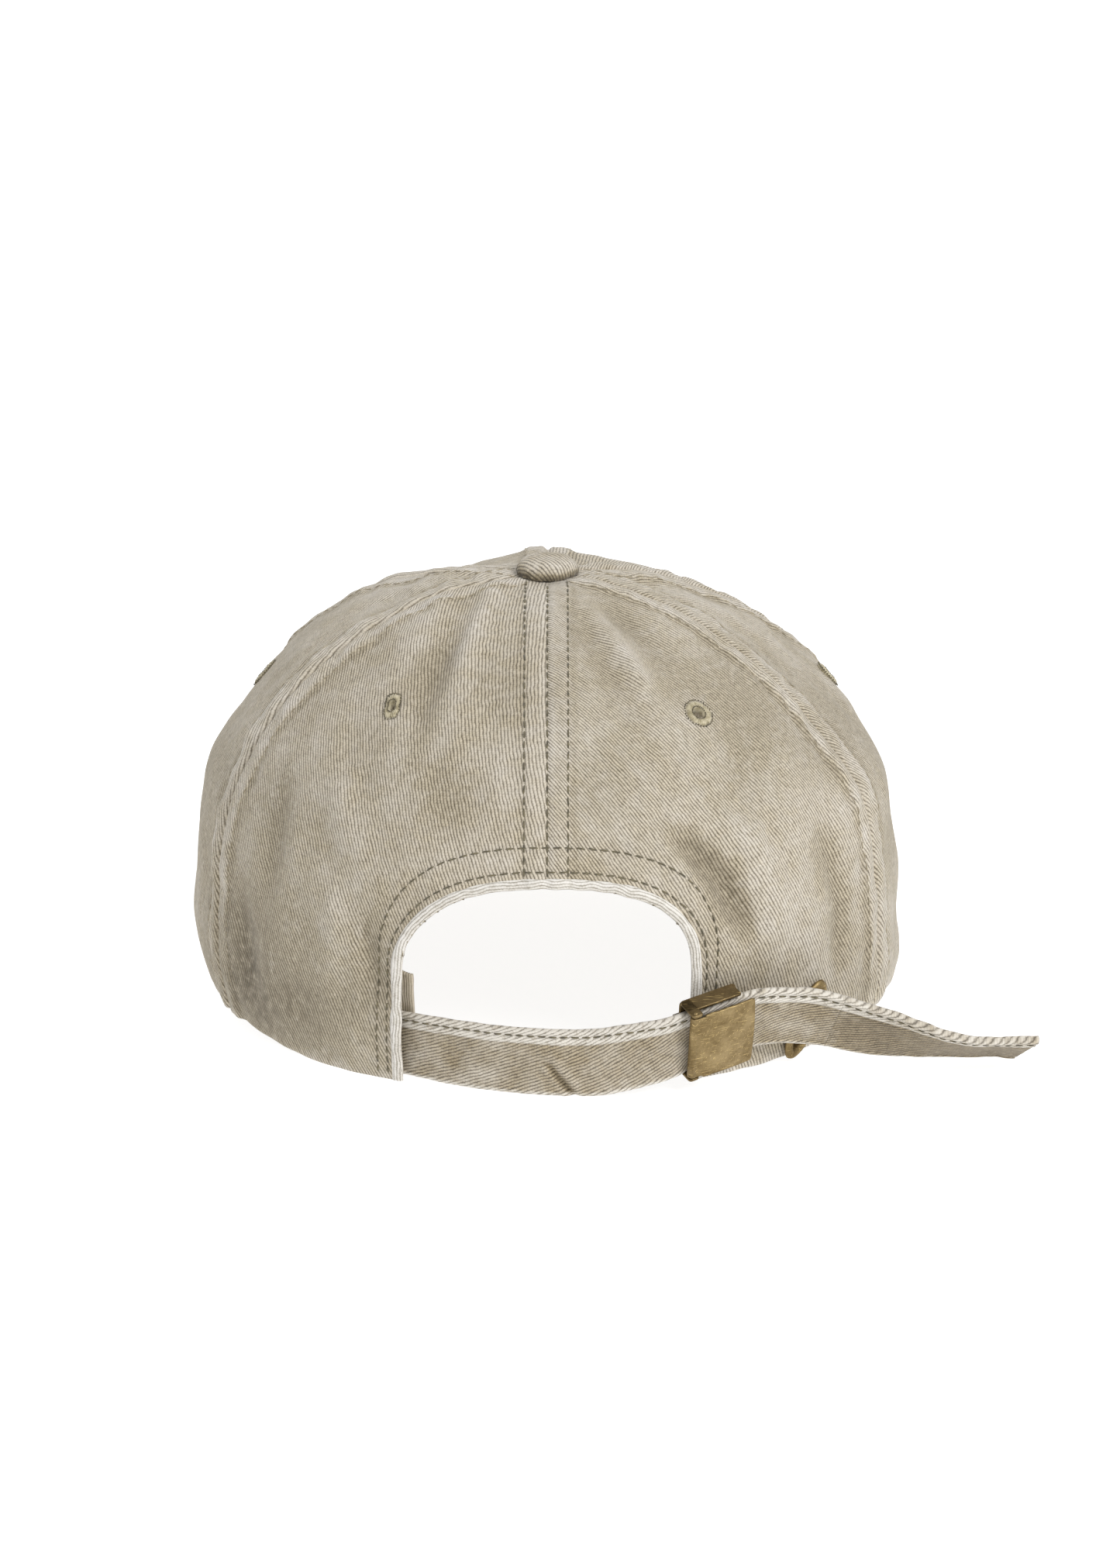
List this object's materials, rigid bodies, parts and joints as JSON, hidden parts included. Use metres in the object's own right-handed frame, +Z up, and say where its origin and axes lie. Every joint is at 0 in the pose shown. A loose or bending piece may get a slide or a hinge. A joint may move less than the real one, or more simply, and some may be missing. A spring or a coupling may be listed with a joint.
{
  "type": "baseball cap",
  "caption": "Soft low-profile cap with sewn panels, curved visor, rear arch opening and an adjustable fabric strap held by a flip clasp.",
  "frame": {"origin": "on the table under the middle of the head opening, where the cap rests on its strap and the sides of its visor", "axes": "+Z up through the button; +Y forward along the visor; +X to the wearer's right, the clasp's side"},
  "size_m": [0.2233, 0.2492, 0.1204],
  "materials": {
    "khaki_twill": "washed cotton twill, faded at the edges",
    "strap_twill": "washed cotton twill, pale folded edges",
    "lining_tape": "plain woven cotton tape",
    "sweatband_cloth": "plain cotton",
    "visor_board": "matte sheet",
    "antique_brass": "antique, scratched",
    "eyelet_thread": "satin-stitch cotton thread"
  },
  "bodies": {
    "crown": {"panel_back_right": "khaki_twill", "panel_side_right": "khaki_twill", "panel_front_right": "khaki_twill", "panel_back_left": "khaki_twill", "panel_side_left": "khaki_twill", "panel_front_left": "khaki_twill", "visor_top_cover": "khaki_twill", "visor_under_cover": "khaki_twill", "button_cover": "khaki_twill", "tape_centre_back": "lining_tape", "tape_back_right": "lining_tape", "tape_back_left": "lining_tape", "tape_front_right": "lining_tape", "tape_front_left": "lining_tape", "tape_centre_front": "lining_tape", "arch_facing": "lining_tape", "sweatband": "sweatband_cloth", "visor_board": "visor_board", "strap_band": "strap_twill", "clasp_tab": "strap_twill", "clasp_frame": "antique_brass", "clasp_pin": "antique_brass", "grommet_flange": "antique_brass", "grommet_washer": "antique_brass", "button_core": "antique_brass", "button_rivet": "antique_brass", "eyelet_back_right": "eyelet_thread", "eyelet_back_left": "eyelet_thread", "eyelet_side_right": "eyelet_thread", "eyelet_side_left": "eyelet_thread", "eyelet_front_right": "eyelet_thread", "eyelet_front_left": "eyelet_thread"},
    "lever": {"clasp_lever": "antique_brass"},
    "tail": {"strap_tail_root": "strap_twill"},
    "tail_end": {"strap_tail_tip": "strap_twill"}
  },
  "joints": [
    {"name": "clasp_flip", "type": "hinge", "parent": "crown", "child": "lever", "pos_m": [0.03791, -0.09027, 0.01461], "axis": [-0.0381, 0.3156, -0.9481], "range_deg": [0, 100]},
    {"name": "tail_swing", "type": "hinge", "parent": "crown", "child": "tail", "pos_m": [0.0572, -0.0763, 0.0177], "axis": [0, 0, -1], "range_deg": [-5, 35]},
    {"name": "tail_curl", "type": "hinge", "parent": "tail", "child": "tail_end", "pos_m": [0.0902, -0.0714, 0.0108], "axis": [0.117, -0.5512, 0.8261], "range_deg": [0, 50]}
  ]
}
